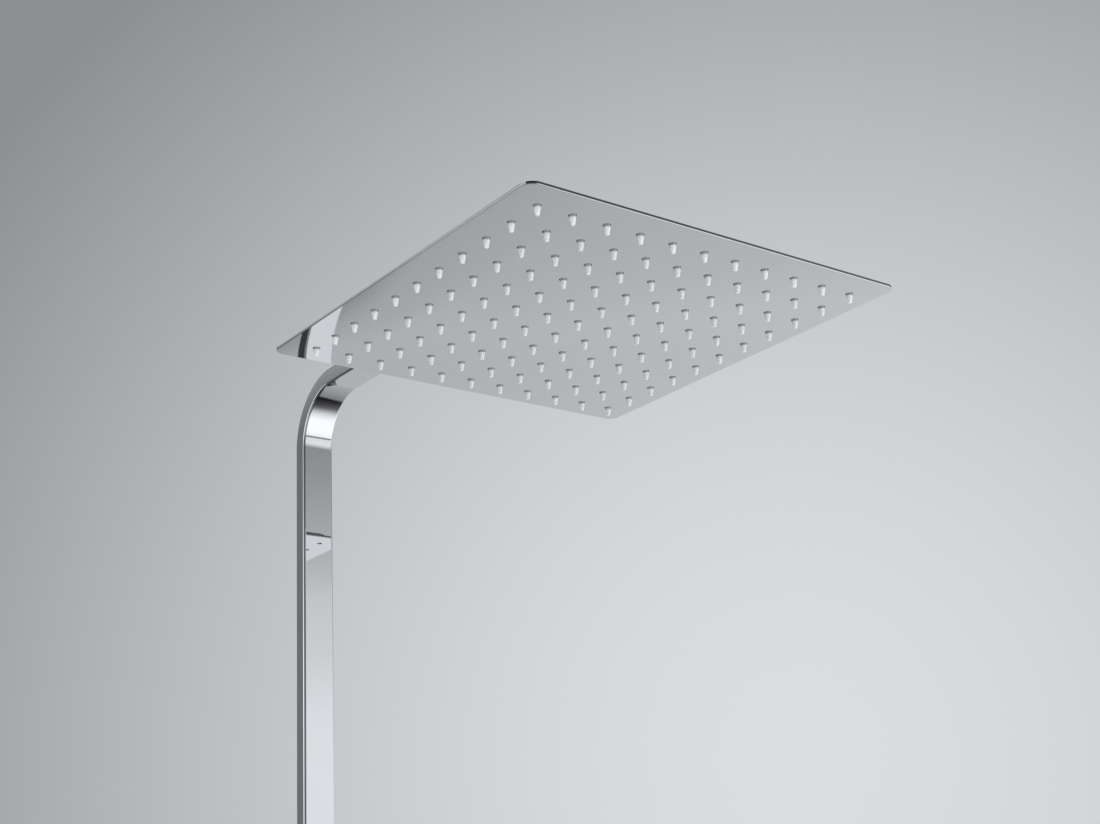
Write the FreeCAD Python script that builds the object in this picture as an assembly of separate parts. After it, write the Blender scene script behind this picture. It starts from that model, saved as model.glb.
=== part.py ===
# Wall-hung shower column with a square overhead plate, sizes in millimetres.
#
# A flat tube climbs the wall, bends forward into an arm, and carries a thin square rain plate
# on a ball joint.  The plate is two welded sheets around a silicone mat with 11 rows of 11 nozzles.
# A bracket holds the tube off the wall, and a union nut at its foot takes the water in.
#
# Frame: the wall is the plane y = 0, +Y points into it, +Z is up, and x = 0 is the plane of symmetry.
# The origin is the centre of the bracket's wall plate, on the wall.
import FreeCAD, Part
import math
import os

Vector = FreeCAD.Vector

# ---- Where things are -------------------------------------------------------------------------
wall_to_column = 65.0        # wall to the tube's centreline
arm_reach = 360.0            # tube's centreline to the plate's centre
arm_overhang = 20.0          # plate's centre to the arm's tip
face_height = 350.0          # bracket's centre up to the plate's wet face
foot_depth = 607.0           # bracket's centre down to the tube's lower end
arm_rise = 54.0              # wet face up to the arm's underside

# ---- Flat tube --------------------------------------------------------------------------------
tube_width = 27.0
tube_depth = 13.5
tube_wall = 1.5
tube_corner = 2.0
bend_inner_radius = 42.0

# ---- Clearances -------------------------------------------------------------------------------
turn_gap = 0.3               # between flat faces that turn past each other
socket_gap = 0.05            # round a plug, a liner or a thread, on each side
ball_gap = 0.05              # between the ball and its seats
rosette_gap = 0.15           # between the rosette's hole and the bracket's post, on each side
edge_reach = 0.01            # how near a face an edge lies to be chamfered with it

# ---- Overhead plate ---------------------------------------------------------------------------
plate_side = 300.0
plate_corner = 8.0
face_thickness = 1.0
back_thickness = 1.0
nozzle_rows = 11
nozzle_margin = 22.0         # outer nozzle row to the plate's edge
head_depth = 9.0             # wet face to the top of the raised pan
pan_margin = 11.0            # foot of the pan to the plate's edge
pan_slope = 6.0              # how far the pan's wall leans in
pan_corner = 8.0

mat_thickness = 1.5
mat_margin = 0.6             # mat's edge to the pan's wall
nozzle_sides = 6
nozzle_hole = 6.0            # hole in the face plate, across its corners
nozzle_root = 5.2
nozzle_tip = 2.8
nozzle_length = 6.5          # how far a nozzle stands out of the wet face
jet_inlet = 3.0
jet_outlet = 1.2
frame_width = 4.0
frame_thickness = 2.0
post_flats = 5.0             # across a stand-off's flats
post_rows = 4
post_step = 3                # nozzle pitches between stand-offs

diffuser_side = 42.0
diffuser_thickness = 1.0
diffuser_corner = 3.0
diffuser_leg = 3.0
diffuser_drop = 2.6          # plate's top to the pan's ceiling

# ---- Ball joint -------------------------------------------------------------------------------
ball_radius = 11.0
tilt_limit = 12.0            # degrees each way
seat_angle = 35.0            # contact of both conical seats, degrees off the ball's equator
ball_floor = 8.4             # ball's centre to the flat end of the ball
neck_diameter = 13.0
neck_height = 14.0           # ball's centre to the collar's underside
collar_diameter = 26.0
collar_length = 12.0
collar_thread_depth = 10.0
collar_flat = 23.0           # across the two spanner flats
collar_flat_length = 5.0
stud_bore = 8.0

shoulder_diameter = 25.0
shoulder_thickness = 2.0
spigot_diameter = 18.0
spigot_inside = 1.0          # how far the spigot stands inside the arm
outlet_thread = 20.9         # crest of the half-inch pipe thread
outlet_bore = 11.0
regulator_diameter = 13.0
regulator_thickness = 3.0
regulator_orifice = 3.4
gasket_thickness = 1.8
gasket_bore = 12.0
screen_thickness = 0.4

hub_flange_diameter = 56.0
hub_flange_thickness = 2.0
hub_thread = 29.0
hub_cavity = 25.2
hub_bore = 13.0
hub_spigot = 16.0
hub_rim = 2.9                # hub's rim above the ball's centre
ring_floor = 10.2            # underside of the lower seat ring below the ball's centre
ring_top = 4.6               # its top below the ball's centre
ring_bore = 14.8
liner_top = 7.6              # top of the upper seat ring above the ball's centre
clamp_nut_diameter = 37.0
clamp_nut_flats = 34.0
clamp_nut_lip = 1.8
clamp_nut_chamfer = 1.5

# ---- Foot of the column -----------------------------------------------------------------------
plug_length = 12.0
foot_disc = 31.0             # covers the tube's corners
foot_disc_thickness = 5.0
neck_outer = 18.0
neck_length = 18.0
foot_bore = 8.0
snap_outer = 19.8
snap_inner = 16.8
snap_thickness = 1.2
snap_opening = 4.0
snap_above = 1.0             # snap ring's underside above the neck's end
snap_groove_gap = 0.1
union_across_flats = 30.0
union_shoulder = 4.0
union_opening = 18.4
union_relief = 24.6
union_thread = 24.12         # minor diameter of the three-quarter-inch pipe thread
union_thread_length = 8.7
seal_outer = 23.8
seal_bore = 12.5
seal_thickness = 2.0

# ---- Arm's end cap ----------------------------------------------------------------------------
cap_thickness = 2.0
cap_chamfer = 0.6
cap_plug = 8.0

# ---- Wall bracket -----------------------------------------------------------------------------
wall_plate_side = 50.0
wall_plate_thickness = 3.0
wall_plate_corner = 4.0
screw_spacing = 36.0
screw_hole = 5.5
screw_head = 10.0
spigot_side = 14.0
spigot_length = 15.0
spigot_corner = 1.0
bracket_side = 20.0
bracket_edge = 1.5
bracket_socket_depth = 16.0
sleeve_wall = 2.5
sleeve_height = 36.0
sleeve_chamfer = 0.6
liner_wall = 0.8
liner_height = 35.0
rosette_side = 56.0
rosette_depth = 9.0
rosette_wall = 1.2
rosette_corner = 6.0
rosette_ring_width = 2.0
rosette_ring_thickness = 2.0
post_screw = 5.0
post_screw_length = 4.2
post_screw_from_wall = 13.0
post_screw_dimple = 1.2      # how deep the screw sinks into the spigot
column_screw = 4.0
column_screw_drop = 14.0
column_screw_proud = 0.4     # how far its head stands out of the sleeve
key_share = 0.5              # hexagon key's width over the screw's diameter
key_depth = 1.6

# ---- Values that follow ------------------------------------------------------------------------
column_y = -wall_to_column
head_y = column_y - arm_reach
arm_under = face_height + arm_rise
arm_z = arm_under + tube_depth / 2
bend_radius = bend_inner_radius + tube_depth / 2
tip_y = head_y - arm_overhang
tube_end_y = tip_y + cap_thickness
bore_width = tube_width - 2 * tube_wall
bore_depth = tube_depth - 2 * tube_wall
bore_corner = max(tube_corner - tube_wall, 0.3)
pitch = (plate_side - 2 * nozzle_margin) / (nozzle_rows - 1)
pivot_z = arm_under - shoulder_thickness - turn_gap - collar_length - neck_height
back_top = face_thickness + back_thickness
pan_side = plate_side - 2 * pan_margin
pan_ceiling = head_depth - back_thickness
mat_top = face_thickness + mat_thickness
mat_corner = max(pan_corner - back_thickness - mat_margin, 1.0)
tilt = math.radians(tilt_limit)
clamp_nut_top = liner_top + socket_gap + clamp_nut_lip
nipple_end = gasket_thickness - shoulder_thickness - turn_gap - collar_thread_depth
foot_z = -foot_depth
neck_end_z = foot_z - foot_disc_thickness - neck_length
head_origin = Vector(0, head_y, face_height)
pivot = Vector(0, head_y, pivot_z)
up = Vector(0, 0, 1)
out = Vector(0, -1, 0)       # away from the wall


# ---- Shapes that many pieces share -------------------------------------------------------------
def outline(width, depth, corner, z=0.0):
    """Closed wire of a rounded rectangle about the Z axis."""
    x, y = width / 2, depth / 2
    r = max(0.05, min(corner, x - 0.05, y - 0.05))
    s = r * math.sqrt(0.5)
    edges = []
    for sx, sy in ((1, 1), (-1, 1), (-1, -1), (1, -1)):
        cx, cy = sx * (x - r), sy * (y - r)
        ends = [Vector(sx * x, cy, z), Vector(cx, sy * y, z)]
        if sx != sy:
            ends.reverse()
        edges.append(Part.Arc(ends[0], Vector(cx + sx * s, cy + sy * s, z), ends[1]).toShape())
    sides = []
    for i, arc in enumerate(edges):
        start, end = arc.Vertexes[-1].Point, edges[(i + 1) % 4].Vertexes[0].Point
        sides.append(Part.makeLine(start, end))
    return Part.Wire([e for pair in zip(edges, sides) for e in pair])


def rectangle(width, depth, z=0.0):
    x, y = width / 2, depth / 2
    corners = [Vector(x, y, z), Vector(-x, y, z), Vector(-x, -y, z), Vector(x, -y, z)]
    return Part.makePolygon(corners + corners[:1])


def block(width, depth, height, corner, z=0.0):
    """Prism standing on the plane z, with rounded corners, or sharp ones if the corner is None."""
    wire = rectangle(width, depth, z) if corner is None else outline(width, depth, corner, z)
    return Part.Face(wire).extrude(Vector(0, 0, height))


def polygon(sides, diameter, z=0.0):
    """Closed wire of a regular polygon, given across its corners, with two flats facing X."""
    turns = [math.radians(360 * (i + 0.5) / sides) for i in range(sides)]
    points = [Vector(diameter / 2 * math.cos(t), diameter / 2 * math.sin(t), z) for t in turns]
    return Part.makePolygon(points + points[:1])


def frustum(sides, low_diameter, low_z, high_diameter, high_z):
    """Straight-sided taper between two regular polygons."""
    low, high = polygon(sides, low_diameter, low_z), polygon(sides, high_diameter, high_z)
    a, b = [v.Point for v in low.OrderedVertexes], [v.Point for v in high.OrderedVertexes]
    walls = [Part.Face(Part.makePolygon([a[i - 1], a[i], b[i], b[i - 1], a[i - 1]])) for i in range(sides)]
    solid = Part.Solid(Part.Shell([Part.Face(low), Part.Face(high)] + walls))
    solid.fix(1e-6, 1e-6, 1e-6)
    return solid


def hexagon(across_flats, height, z=0.0):
    return Part.Face(polygon(6, across_flats / math.cos(math.pi / 6), z)).extrude(Vector(0, 0, height))


def cylinder(diameter, height, z=0.0):
    return Part.makeCylinder(diameter / 2, height, Vector(0, 0, z))


def turned(points):
    """Solid of revolution about Z from (radius, height) corners."""
    wire = Part.makePolygon([Vector(r, 0, z) for r, z in points + points[:1]])
    return Part.Face(wire).revolve(Vector(0, 0, 0), up, 360)


def on_wall(shape):
    """Turns a shape built up from z = 0 so that it stands out of the wall."""
    shape = shape.copy()
    shape.rotate(Vector(0, 0, 0), Vector(1, 0, 0), 90)
    return shape


def placed(shape, at):
    shape = shape.copy()
    shape.translate(at)
    return shape


def grub_screw(diameter, length):
    """Flat-point grub screw standing on z = 0, with a hexagon socket in its foot."""
    return cylinder(diameter, length).cut(hexagon(diameter * key_share, key_depth))


def cone_seat(height):
    """Radius, at a height off the equator, of a cone that touches the ball at the seat angle."""
    a = math.radians(seat_angle)
    return ((ball_radius + ball_gap) - height * math.sin(a)) / math.cos(a)


def cone_height(radius):
    """Height off the equator at which that cone has this radius."""
    a = math.radians(seat_angle)
    return ((ball_radius + ball_gap) - radius * math.cos(a)) / math.sin(a)


def lip_radius(height):
    """Bore that the tilted neck just clears at a height over the ball's centre."""
    return height * math.tan(tilt) + neck_diameter / 2 / math.cos(tilt) + turn_gap


# ---- Column ------------------------------------------------------------------------------------
def along_column(width, depth, corner):
    """A profile swept up the wall, round the bend and out along the arm."""
    face = Part.Face(rectangle(width, depth, foot_z) if corner is None else outline(width, depth, corner, foot_z))
    face.translate(Vector(0, column_y, 0))
    bend_z = arm_z - bend_radius
    riser = face.extrude(Vector(0, 0, bend_z - foot_z))
    face.translate(Vector(0, 0, bend_z - foot_z))
    centre = Vector(0, column_y - bend_radius, bend_z)
    bend = face.revolve(centre, Vector(1, 0, 0), 90)
    face.rotate(centre, Vector(1, 0, 0), 90)
    arm = face.extrude(out * (column_y - bend_radius - tube_end_y))
    return riser.fuse([bend, arm]).removeSplitter()


def column_tube():
    tube = along_column(tube_width, tube_depth, tube_corner)
    tube = tube.cut(along_column(bore_width, bore_depth, None))
    drill = cylinder(spigot_diameter + 2 * socket_gap, 3 * tube_wall, -tube_wall)
    return tube.cut(placed(drill, Vector(0, head_y, arm_under)))


def arm_end_cap():
    cap = block(tube_width, tube_depth, cap_thickness, tube_corner)
    rim = [e for e in cap.Edges if e.BoundBox.ZMin > cap_thickness - edge_reach]
    cap = cap.makeChamfer(min(cap_chamfer, cap_thickness / 2), rim)
    plug = block(bore_width - 2 * socket_gap, bore_depth - 2 * socket_gap, cap_plug, None, -cap_plug)
    return placed(on_wall(cap.fuse(plug).removeSplitter()), Vector(0, tube_end_y, arm_z))


def outlet_nipple():
    """Threaded outlet brazed through the arm's underside, with a seat for the flow regulator."""
    end = nipple_end
    body = turned([(outlet_bore / 2, tube_wall + spigot_inside), (spigot_diameter / 2, tube_wall + spigot_inside),
                   (spigot_diameter / 2, 0), (shoulder_diameter / 2, 0),
                   (shoulder_diameter / 2, -shoulder_thickness), (outlet_thread / 2, -shoulder_thickness),
                   (outlet_thread / 2, end), (regulator_diameter / 2 + socket_gap, end),
                   (regulator_diameter / 2 + socket_gap, end + regulator_thickness + socket_gap),
                   (outlet_bore / 2, end + regulator_thickness + socket_gap)])
    return placed(body, Vector(0, head_y, arm_under))


def flow_regulator():
    disc = cylinder(regulator_diameter, regulator_thickness).cut(
        cylinder(regulator_orifice, 3 * regulator_thickness, -regulator_thickness))
    return placed(disc, Vector(0, head_y, arm_under + nipple_end))


# ---- Ball joint --------------------------------------------------------------------------------
def ball_stud():
    """Ball with a flat end, neck, and a collar with two spanner flats and a threaded socket."""
    top = neck_height + collar_length
    socket = outlet_thread / 2 + socket_gap
    ball = Part.makeSphere(ball_radius).common(cylinder(4 * ball_radius, 3 * ball_radius, -ball_floor))
    collar = turned([(stud_bore / 2, neck_height), (collar_diameter / 2, neck_height), (collar_diameter / 2, top),
                     (socket, top), (socket, top - collar_thread_depth), (stud_bore / 2, top - collar_thread_depth)])
    body = ball.fuse(cylinder(neck_diameter, neck_height)).cut(cylinder(stud_bore, 3 * neck_height, -2 * ball_floor))
    body = body.fuse(collar).removeSplitter()
    for side in (1, -1):
        start = collar_flat / 2 if side > 0 else -collar_flat / 2 - collar_diameter
        body = body.cut(Part.makeBox(collar_diameter, 2 * collar_diameter, collar_flat_length,
                                     Vector(start, -collar_diameter, neck_height)))
    return placed(body, pivot)


def gasket_floor():
    return pivot + up * (neck_height + collar_length - collar_thread_depth)


def filter_gasket():
    body = cylinder(outlet_thread, gasket_thickness)
    body = body.cut(cylinder(gasket_bore, 3 * gasket_thickness, -gasket_thickness))
    return placed(body, gasket_floor())


def filter_screen():
    disc = cylinder(gasket_bore - 2 * socket_gap, screen_thickness)
    return placed(disc, gasket_floor())


def ball_seal():
    """Soft ring under the ball: its cone carries the ball and seals it."""
    body = turned([(ring_bore / 2, -ring_floor), (hub_cavity / 2 - socket_gap, -ring_floor),
                   (hub_cavity / 2 - socket_gap, -ring_top), (cone_seat(ring_top), -ring_top),
                   (ring_bore / 2, -cone_height(ring_bore / 2))])
    return placed(body, pivot)


def ball_liner():
    """Slide ring over the ball, held between the hub's rim and the nut's lip."""
    low = hub_rim + socket_gap
    bore = lip_radius(liner_top)
    body = turned([(cone_seat(low), low), (hub_thread / 2 - socket_gap, low),
                   (hub_thread / 2 - socket_gap, liner_top), (bore, liner_top), (bore, cone_height(bore))])
    return placed(body, pivot)


def inlet_hub():
    """Turned inlet welded on the pan: flange, threaded neck, and the cavity round the ball."""
    base = face_height + head_depth - pivot_z
    body = turned([(hub_bore / 2, base - back_thickness), (hub_spigot / 2, base - back_thickness),
                   (hub_spigot / 2, base), (hub_flange_diameter / 2, base),
                   (hub_flange_diameter / 2, base + hub_flange_thickness),
                   (hub_thread / 2, base + hub_flange_thickness), (hub_thread / 2, hub_rim),
                   (hub_cavity / 2, hub_rim), (hub_cavity / 2, -ring_floor), (hub_bore / 2, -ring_floor)])
    return placed(body, pivot)


def swivel_nut():
    """Round nut with two spanner flats, whose lip holds the seats and the ball in the hub."""
    base = face_height + head_depth + hub_flange_thickness + turn_gap - pivot_z
    outer, c = clamp_nut_diameter / 2, clamp_nut_chamfer
    thread = hub_thread / 2 + socket_gap
    ledge = liner_top + socket_gap
    body = turned([(thread, base), (outer, base), (outer, clamp_nut_top - c), (outer - c, clamp_nut_top),
                   (lip_radius(clamp_nut_top), clamp_nut_top), (lip_radius(clamp_nut_top), ledge), (thread, ledge)])
    for side in (1, -1):
        start = clamp_nut_flats / 2 if side > 0 else -clamp_nut_flats / 2 - 2 * outer
        body = body.cut(Part.makeBox(2 * outer, 4 * outer, 8 * outer, Vector(start, -2 * outer, -4 * outer)))
    return placed(body, pivot)


# ---- Overhead plate ----------------------------------------------------------------------------
def nozzle_points():
    half = (nozzle_rows - 1) / 2
    return [(pitch * (i - half), pitch * (j - half)) for i in range(nozzle_rows) for j in range(nozzle_rows)]


def post_points():
    half = (post_rows - 1) / 2
    step = post_step * pitch
    return [(step * (i - half), step * (j - half)) for i in range(post_rows) for j in range(post_rows)]


def sheet(side, corner, thickness, z, holes):
    """Square sheet with holes, cut as one profile."""
    face = Part.Face([outline(side, side, corner, z)] + holes)
    face.validate()
    return face.extrude(Vector(0, 0, thickness))


def face_plate():
    """Wet face: one hole for each nozzle."""
    holes = [placed(polygon(nozzle_sides, nozzle_hole), Vector(x, y, 0)) for x, y in nozzle_points()]
    return placed(sheet(plate_side, plate_corner, face_thickness, 0, holes), head_origin)


def pan(inset, low, high):
    """The pan's outside, or with an inset its inside, from a wide foot to a narrower top."""
    lean = pan_slope / (head_depth - back_top)
    sides = [pan_side - 2 * inset - 2 * lean * (z - back_top) for z in (low, high)]
    corner = max(pan_corner - inset, 1.0)
    return Part.makeLoft([outline(s, s, corner, z) for s, z in zip(sides, (low, high))], True, True)


def back_plate():
    flange = block(plate_side, plate_side, back_thickness, plate_corner, face_thickness)
    body = flange.fuse(pan(0, back_top, head_depth)).cut(pan(back_thickness, face_thickness, pan_ceiling))
    body = body.cut(cylinder(hub_spigot + 2 * socket_gap, 3 * head_depth))
    return placed(body.removeSplitter(), head_origin)


def mat_side():
    lean = pan_slope / (head_depth - back_top)
    return pan_side - 2 * back_thickness - 2 * lean * (mat_top - back_top) - 2 * mat_margin


def nozzle_mat():
    """Silicone mat: its tapered nozzles stand through the face plate, each with a tapered jet."""
    body = block(mat_side(), mat_side(), mat_thickness, mat_corner, face_thickness)
    nozzle = frustum(nozzle_sides, nozzle_tip, -nozzle_length, nozzle_root, face_thickness)
    jet = frustum(nozzle_sides, jet_outlet, -nozzle_length, jet_inlet, mat_top)
    places = [Vector(x, y, 0) for x, y in nozzle_points()]
    body = body.fuse([placed(nozzle, p) for p in places])
    body = body.cut(Part.makeCompound([placed(jet, p) for p in places]))
    return placed(body.removeSplitter(), head_origin)


def mat_clamp_frame():
    """Frame that holds the mat's rim down on the face plate."""
    side = mat_side()
    top = block(side, side, frame_thickness, mat_corner, mat_top)
    inner = side - 2 * frame_width
    trimmed = top.common(pan(back_thickness + mat_margin, mat_top, mat_top + frame_thickness))
    return placed(trimmed.cut(block(inner, inner, 3 * frame_thickness, None)), head_origin)


def stand_offs():
    """Equal hexagon posts welded under the pan, which press the mat on the face plate."""
    height = pan_ceiling - mat_top
    return placed(Part.makeCompound([placed(hexagon(post_flats, height, mat_top), Vector(x, y, 0))
                                     for x, y in post_points()]), head_origin)


def diffuser_plate():
    """Square baffle on four legs that turns the inflow aside."""
    top = pan_ceiling - diffuser_drop
    body = block(diffuser_side, diffuser_side, diffuser_thickness, diffuser_corner, top - diffuser_thickness)
    offset = diffuser_side / 2 - diffuser_leg
    legs = [placed(hexagon(diffuser_leg, diffuser_drop + diffuser_thickness / 2, top - diffuser_thickness / 2),
                   Vector(x * offset, y * offset, 0)) for x in (1, -1) for y in (1, -1)]
    return placed(body.fuse(legs).removeSplitter(), head_origin)


# ---- Foot --------------------------------------------------------------------------------------
def lower_adapter():
    """Brazed foot of the tube: a plug, a turned disc, and the neck that the nut hangs on."""
    plug = block(bore_width - 2 * socket_gap, bore_depth - 2 * socket_gap, plug_length, None)
    disc = foot_disc / 2
    low = -foot_disc_thickness
    end = low - neck_length
    neck = neck_outer / 2
    floor = snap_inner / 2 - snap_groove_gap
    groove_low = end + snap_above - snap_groove_gap
    groove_high = end + snap_above + snap_thickness + snap_groove_gap
    foot = turned([(0, 0), (disc, 0), (disc, low), (neck, low), (neck, groove_high),
                   (floor, groove_high), (floor, groove_low), (neck, groove_low), (neck, end), (0, end)])
    length = plug_length + foot_disc_thickness + neck_length
    body = plug.fuse(foot).cut(cylinder(foot_bore, 3 * length, -2 * length))
    return placed(body.removeSplitter(), Vector(0, column_y, foot_z))


def nut_snap_ring():
    """Open ring in the neck's groove."""
    body = cylinder(snap_outer, snap_thickness, snap_above).cut(cylinder(snap_inner, 4 * snap_thickness))
    body = body.cut(Part.makeBox(snap_opening, snap_outer, 4 * snap_thickness, Vector(-snap_opening / 2, 0, 0)))
    return placed(body, Vector(0, column_y, neck_end_z))


def union_seal():
    body = cylinder(seal_outer, seal_thickness, -seal_thickness)
    body = body.cut(cylinder(seal_bore, 4 * seal_thickness, -3 * seal_thickness))
    return placed(body, Vector(0, column_y, neck_end_z))


def union_nut():
    """Hexagon union nut, its corners turned back at the open end."""
    ledge = snap_above + snap_thickness + turn_gap
    top = ledge + union_shoulder
    relief_end = -seal_thickness - turn_gap
    low = relief_end - union_thread_length
    corner, flat = union_across_flats / math.sqrt(3), union_across_flats / 2
    rise = (corner - flat) * math.tan(math.radians(30))
    thread = union_thread / 2
    turning = turned([(thread, low), (flat, low), (corner, low + rise), (corner, top),
                      (union_opening / 2, top), (union_opening / 2, ledge), (union_relief / 2, ledge),
                      (union_relief / 2, relief_end), (thread, relief_end)])
    body = turning.common(hexagon(union_across_flats, top - low, low))
    return placed(body, Vector(0, column_y, neck_end_z))


# ---- Bracket -----------------------------------------------------------------------------------
def wall_plate():
    body = block(wall_plate_side, wall_plate_side, wall_plate_thickness, wall_plate_corner)
    spigot = block(spigot_side, spigot_side, spigot_length, spigot_corner, wall_plate_thickness)
    body = body.fuse(spigot).removeSplitter()
    sink = (screw_head - screw_hole) / 2
    for side in (1, -1):
        at = Vector(0, side * screw_spacing / 2, 0)
        hole = Part.makeCylinder(screw_hole / 2, 3 * wall_plate_thickness, at - up * wall_plate_thickness)
        cone = Part.makeCone(screw_hole / 2, screw_head / 2, sink, at + up * (wall_plate_thickness - sink))
        body = body.cut([hole, cone])
    body = on_wall(body)
    dimple = cylinder(post_screw + 2 * socket_gap, spigot_side, post_screw_dimple - 1.5 * spigot_side)
    return body.cut(placed(dimple, Vector(0, -post_screw_from_wall, 0)))


def sleeve_outer():
    grow = 2 * (socket_gap + liner_wall + socket_gap + sleeve_wall)
    return tube_width + grow, tube_depth + grow


def bracket_body():
    """One casting: a square post off the wall, and the sleeve that the tube slides through."""
    width, depth = sleeve_outer()
    sleeve = block(width, depth, sleeve_height, tube_corner + sleeve_wall, -sleeve_height / 2)
    rim = [e for e in sleeve.Edges if e.BoundBox.ZLength < edge_reach]
    sleeve = placed(sleeve.makeChamfer(sleeve_chamfer, rim), Vector(0, column_y, 0))
    reach = wall_to_column - wall_plate_thickness - turn_gap
    post = on_wall(block(bracket_side, bracket_side, reach, bracket_edge, wall_plate_thickness + turn_gap))
    grow = 2 * (2 * socket_gap + liner_wall)
    passage = placed(block(tube_width + grow, tube_depth + grow, 2 * sleeve_height, tube_corner + liner_wall,
                           -sleeve_height), Vector(0, column_y, 0))
    socket_side = spigot_side + 2 * socket_gap
    socket = on_wall(block(socket_side, socket_side, bracket_socket_depth, spigot_corner, wall_plate_thickness))
    post_hole = cylinder(post_screw + 2 * socket_gap, bracket_side, -bracket_side)
    post_hole = placed(post_hole, Vector(0, -post_screw_from_wall, 0))
    column_hole = on_wall(cylinder(column_screw + 2 * socket_gap, tube_depth, wall_to_column - tube_depth))
    body = sleeve.fuse(post).cut([passage, socket, post_hole,
                                  placed(column_hole, Vector(0, 0, -column_screw_drop))])
    return body.removeSplitter()


def sleeve_liner():
    inner_w, inner_d = tube_width + 2 * socket_gap, tube_depth + 2 * socket_gap
    body = block(inner_w + 2 * liner_wall, inner_d + 2 * liner_wall, liner_height, tube_corner + liner_wall,
                 -liner_height / 2)
    body = body.cut(block(inner_w, inner_d, 2 * liner_height, tube_corner, -liner_height))
    body = placed(body, Vector(0, column_y, 0))
    hole = on_wall(cylinder(column_screw + 2 * socket_gap, tube_depth, wall_to_column - tube_depth))
    return body.cut(placed(hole, Vector(0, 0, -column_screw_drop)))


def column_lock_screw():
    """Grub screw through the sleeve's back wall, its tip on the tube."""
    tube_back = wall_to_column - tube_depth / 2
    length = 2 * socket_gap + liner_wall + sleeve_wall + column_screw_proud
    screw = on_wall(placed(grub_screw(column_screw, length), up * (tube_back - socket_gap - length)))
    return placed(screw, Vector(0, 0, -column_screw_drop))


def post_lock_screw():
    """Grub screw up through the post's underside into the spigot's dimple."""
    tip = -spigot_side / 2 + post_screw_dimple - socket_gap
    return placed(grub_screw(post_screw, post_screw_length), Vector(0, -post_screw_from_wall, tip - post_screw_length))


def wall_rosette():
    body = block(rosette_side, rosette_side, rosette_depth, rosette_corner, turn_gap)
    top = rosette_depth + turn_gap
    body = body.makeChamfer(rosette_wall * 0.8, [e for e in body.Edges if e.BoundBox.ZMin > top - edge_reach])
    inner = rosette_side - 2 * rosette_wall
    body = body.cut(block(inner, inner, rosette_depth - rosette_wall, rosette_corner - rosette_wall, turn_gap))
    side = bracket_side + 2 * rosette_gap
    return on_wall(body.cut(block(side, side, 4 * rosette_depth, bracket_edge + rosette_gap - socket_gap)))


def rosette_ring():
    inner = bracket_side + 2 * socket_gap
    side = inner + 2 * rosette_ring_width
    low = rosette_depth + turn_gap - rosette_wall - rosette_ring_thickness
    body = block(side, side, rosette_ring_thickness, None, low)
    return on_wall(body.cut(block(inner, inner, 4 * rosette_depth, None)))


# ---- Writing the pieces ------------------------------------------------------------------------
PIECES = [
    column_tube, arm_end_cap, outlet_nipple, flow_regulator, lower_adapter, nut_snap_ring, union_seal, union_nut,
    wall_plate, bracket_body, sleeve_liner, column_lock_screw, post_lock_screw, wall_rosette, rosette_ring,
    ball_stud, filter_gasket, filter_screen, ball_liner, ball_seal, inlet_hub, swivel_nut,
    back_plate, face_plate, nozzle_mat, mat_clamp_frame, stand_offs, diffuser_plate,
]

os.makedirs("parts", exist_ok=True)
for piece in PIECES:
    shape = piece()
    name = piece.__name__
    shape.exportStep(os.path.join("parts", name + ".step"))
    print(f"{name}: {len(shape.Solids)} solid(s), {shape.Volume:.1f} mm3, valid {shape.isValid()}")
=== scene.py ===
import math

import bmesh
import bpy
from mathutils import Matrix, Vector


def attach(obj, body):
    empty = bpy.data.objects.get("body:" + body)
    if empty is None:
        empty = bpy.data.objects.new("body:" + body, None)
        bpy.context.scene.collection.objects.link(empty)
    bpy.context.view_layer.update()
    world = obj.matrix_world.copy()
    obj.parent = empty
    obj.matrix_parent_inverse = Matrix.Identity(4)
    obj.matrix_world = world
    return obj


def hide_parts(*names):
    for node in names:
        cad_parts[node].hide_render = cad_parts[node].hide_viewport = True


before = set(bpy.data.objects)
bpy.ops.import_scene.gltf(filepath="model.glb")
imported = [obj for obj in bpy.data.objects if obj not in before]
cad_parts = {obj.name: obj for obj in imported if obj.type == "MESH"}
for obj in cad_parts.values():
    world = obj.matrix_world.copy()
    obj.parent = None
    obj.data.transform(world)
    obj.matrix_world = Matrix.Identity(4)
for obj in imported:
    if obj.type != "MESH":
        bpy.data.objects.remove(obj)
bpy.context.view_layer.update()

# ---- Camera ------------------------------------------------------------------------------------
# It stands below and to the left of the plate and looks up past the column.  Metres, in the same
# frame as the solids; the lens is a short telephoto on a 36 mm sensor.
bpy.context.scene.view_settings.view_transform = "Standard"
camera_right = Vector((0.8009, -0.5968, -0.0498))
camera_up = Vector((-0.1584, -0.2913, 0.9434))
camera_back = Vector((-0.5775, -0.7477, -0.3279))
camera_place = Matrix.Translation((-0.6653, -1.2506, -0.0813))
camera = bpy.data.objects.new("camera", bpy.data.cameras.new("camera"))
camera.data.lens = 55.55
camera.data.sensor_width = 36
camera.data.sensor_fit = "HORIZONTAL"
aim = Matrix((camera_right, camera_up, camera_back)).transposed().to_4x4()
camera.matrix_world = camera_place @ aim
bpy.context.scene.collection.objects.link(camera)
bpy.context.scene.camera = camera


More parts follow.
